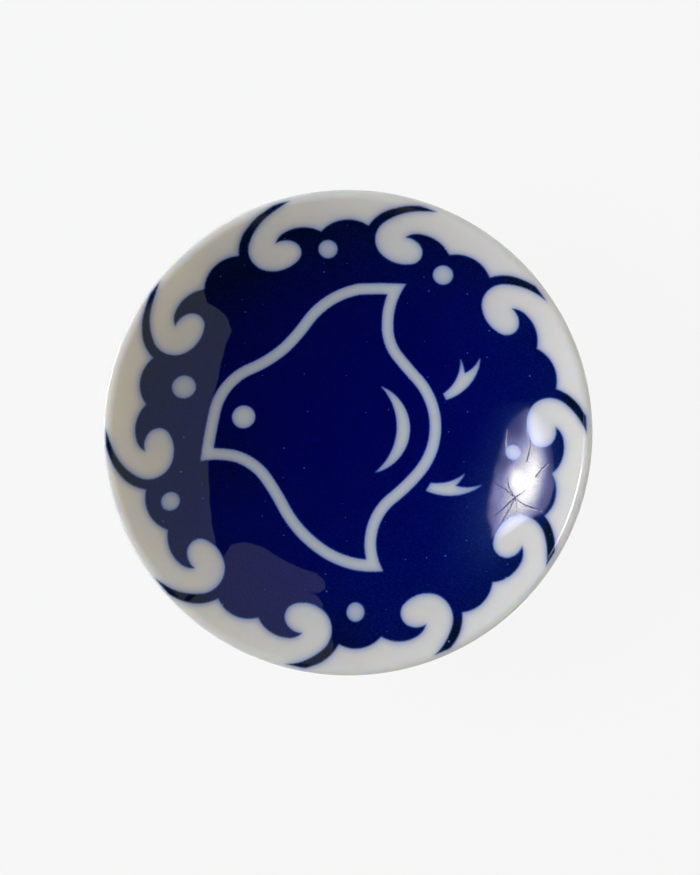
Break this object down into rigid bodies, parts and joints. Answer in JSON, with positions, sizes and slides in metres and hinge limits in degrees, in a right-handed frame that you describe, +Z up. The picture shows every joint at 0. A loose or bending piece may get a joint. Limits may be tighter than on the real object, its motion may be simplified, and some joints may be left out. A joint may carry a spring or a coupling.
{
  "type": "soy sauce dish",
  "caption": "Small round porcelain dipping dish on a foot ring, with a traditional wave and plover print in cobalt blue on its inner face.",
  "frame": {"origin": "middle of the foot, on the surface that the dish stands on", "axes": "+Z up through the middle of the dish; +Y towards the top of the print and -X the way the plover faces"},
  "size_m": [0.095, 0.095, 0.0232],
  "materials": {
    "glazed_porcelain": "gloss",
    "foot_porcelain": "satin",
    "cobalt_print": "gloss"
  },
  "bodies": {
    "root": {"dish_body": "glazed_porcelain", "foot_ring": "foot_porcelain", "cobalt_sea": "cobalt_print", "cobalt_plover": "cobalt_print"}
  },
  "joints": []
}
